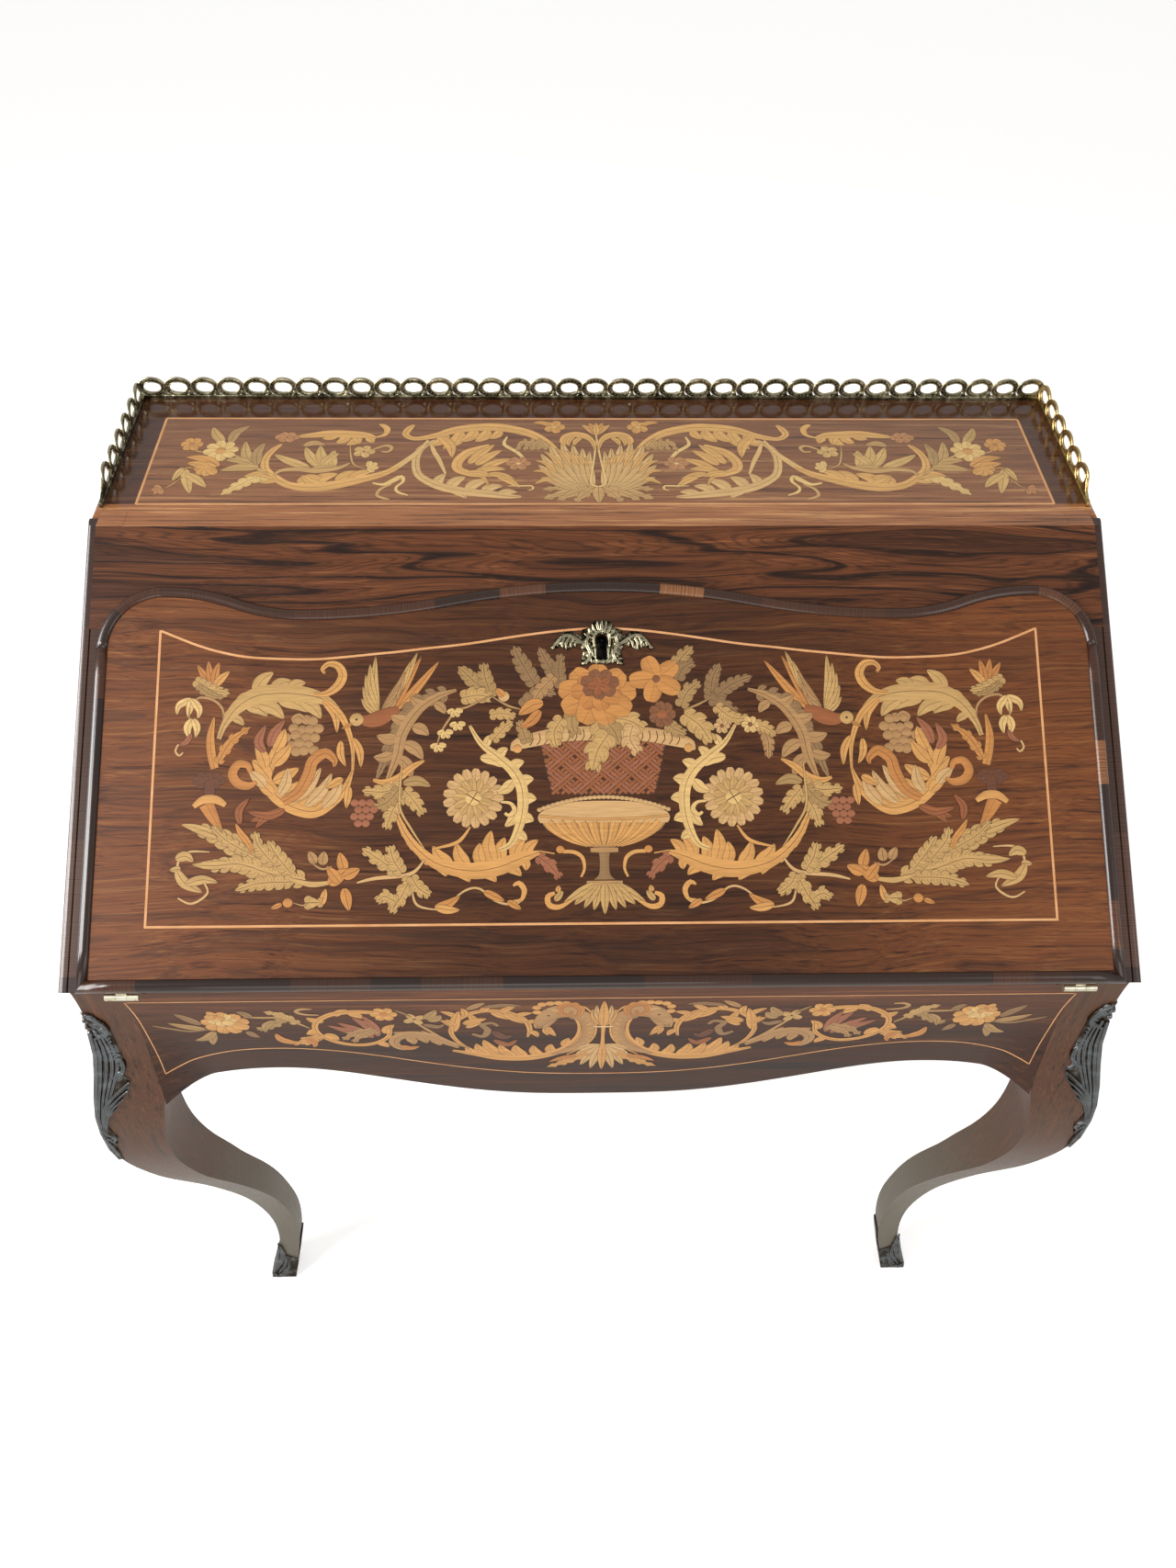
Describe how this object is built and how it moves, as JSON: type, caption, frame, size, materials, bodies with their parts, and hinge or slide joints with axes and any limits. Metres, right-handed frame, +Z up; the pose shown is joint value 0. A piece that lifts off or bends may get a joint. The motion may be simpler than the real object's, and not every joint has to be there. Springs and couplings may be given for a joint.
{
  "type": "drop-front writing desk",
  "caption": "Lady's writing desk with a sloping drop front on elbow stays, a fitted interior with a covered well, a pierced gallery, and cabriole legs with bronze mounts.",
  "frame": {"origin": "on the floor, midway between the outermost points of the desk in X and in Y", "axes": "+X to the sitter's right, +Y from the sitter to the back, +Z up; the drop front slopes up and back, 30 degrees from level"},
  "size_m": [0.826, 0.535, 0.885],
  "materials": {
    "veneered_rosewood": "rosewood and kingwood veneer with floral marquetry, french polished",
    "veneered_top": "rosewood veneer with floral marquetry, glossy french polish, faded lighter",
    "interior_mahogany": "plain mahogany, waxed",
    "dark_bronze": "cast bronze, darkened with worn highlights",
    "gilt_bronze": "cast gilt bronze, aged",
    "gallery_brass": "cast brass, aged",
    "fitting_brass": "turned and rolled brass, satin",
    "lock_steel": "filed steel",
    "writing_leather": "dark green leather with a tooled border"
  },
  "bodies": {
    "case": {"top_panel": "veneered_top", "back_panel": "interior_mahogany", "upper_rail": "veneered_rosewood", "writing_bed": "interior_mahogany", "well_walls": "interior_mahogany", "well_floor": "interior_mahogany", "apron_front": "veneered_rosewood", "apron_rear": "veneered_rosewood", "strike_plate": "lock_steel", "stay_studs": "fitting_brass", "fitting_floor": "interior_mahogany", "gallery_back": "gallery_brass", "gallery_left": "gallery_brass", "gallery_right": "gallery_brass", "side_panel_left": "veneered_rosewood", "side_panel_right": "veneered_rosewood", "edge_strip_left": "veneered_rosewood", "edge_strip_right": "veneered_rosewood", "leg_rear_left": "veneered_rosewood", "leg_rear_right": "veneered_rosewood", "leg_front_left": "veneered_rosewood", "leg_front_right": "veneered_rosewood", "sabot_rear_left": "dark_bronze", "sabot_rear_right": "dark_bronze", "sabot_front_left": "dark_bronze", "sabot_front_right": "dark_bronze", "knee_mount_left": "dark_bronze", "knee_mount_right": "dark_bronze", "apron_side_left": "veneered_rosewood", "apron_side_right": "veneered_rosewood", "hinge_case_left": "fitting_brass", "hinge_case_right": "fitting_brass", "fitting_upright_left": "interior_mahogany", "fitting_upright_right": "interior_mahogany", "fitting_shelf_left": "interior_mahogany", "fitting_shelf_right": "interior_mahogany"},
    "fall": {"fall_panel": "veneered_rosewood", "fall_moulding_head": "veneered_rosewood", "fall_moulding_foot": "veneered_rosewood", "writing_leather": "writing_leather", "keyhole_plate": "gilt_bronze", "lock_case": "lock_steel", "stay_lugs": "fitting_brass", "fall_moulding_left": "veneered_rosewood", "fall_moulding_right": "veneered_rosewood", "hinge_fall_left": "fitting_brass", "hinge_fall_right": "fitting_brass"},
    "lock_bolt": {"lock_bolt": "lock_steel"},
    "well_lid": {"well_lid": "interior_mahogany"},
    "stay_arm_left": {"stay_arm_left": "fitting_brass"},
    "stay_link_left": {"stay_link_left": "fitting_brass"},
    "drawer_left": {"drawer_tray_left": "interior_mahogany", "drawer_front_left": "interior_mahogany", "drawer_knob_left": "fitting_brass"},
    "stay_arm_right": {"stay_arm_right": "fitting_brass"},
    "stay_link_right": {"stay_link_right": "fitting_brass"},
    "drawer_right": {"drawer_tray_right": "interior_mahogany", "drawer_front_right": "interior_mahogany", "drawer_knob_right": "fitting_brass"}
  },
  "joints": [
    {"name": "fall_hinge", "type": "hinge", "parent": "case", "child": "fall", "pos_m": [0, -0.242, 0.685], "axis": [1, 0, 0], "range_deg": [0, 150.02]},
    {"name": "bolt_slide", "type": "slide", "parent": "fall", "child": "lock_bolt", "axis": [0, 0.8662, 0.4997], "range_m": [0, 0.008]},
    {"name": "well_lid_slide", "type": "slide", "parent": "case", "child": "well_lid", "axis": [0, 1, 0], "range_m": [0, 0.19]},
    {"name": "stay_arm_turn_left", "type": "hinge", "parent": "case", "child": "stay_arm_left", "pos_m": [-0.361, -0.1215, 0.7305], "axis": [1, 0, 0], "range_deg": [0, 150.02]},
    {"name": "stay_link_turn_left", "type": "hinge", "parent": "stay_arm_left", "child": "stay_link_left", "pos_m": [-0.361, 0.00527, 0.79093], "axis": [1, 0, 0], "range_deg": [-150.02, 0]},
    {"name": "drawer_slide_left", "type": "slide", "parent": "case", "child": "drawer_left", "axis": [0, -1, 0], "range_m": [0, 0.13]},
    {"name": "stay_arm_turn_right", "type": "hinge", "parent": "case", "child": "stay_arm_right", "pos_m": [0.361, -0.1215, 0.7305], "axis": [1, 0, 0], "range_deg": [0, 150.02]},
    {"name": "stay_link_turn_right", "type": "hinge", "parent": "stay_arm_right", "child": "stay_link_right", "pos_m": [0.361, 0.00527, 0.79093], "axis": [1, 0, 0], "range_deg": [-150.02, 0]},
    {"name": "drawer_slide_right", "type": "slide", "parent": "case", "child": "drawer_right", "axis": [0, -1, 0], "range_m": [0, 0.13]}
  ],
  "couplings": [
    {"joint": "stay_arm_turn_left", "follows": "fall_hinge", "ratio": 1},
    {"joint": "stay_link_turn_left", "follows": "fall_hinge", "ratio": -1},
    {"joint": "stay_arm_turn_right", "follows": "fall_hinge", "ratio": 1},
    {"joint": "stay_link_turn_right", "follows": "fall_hinge", "ratio": -1}
  ]
}
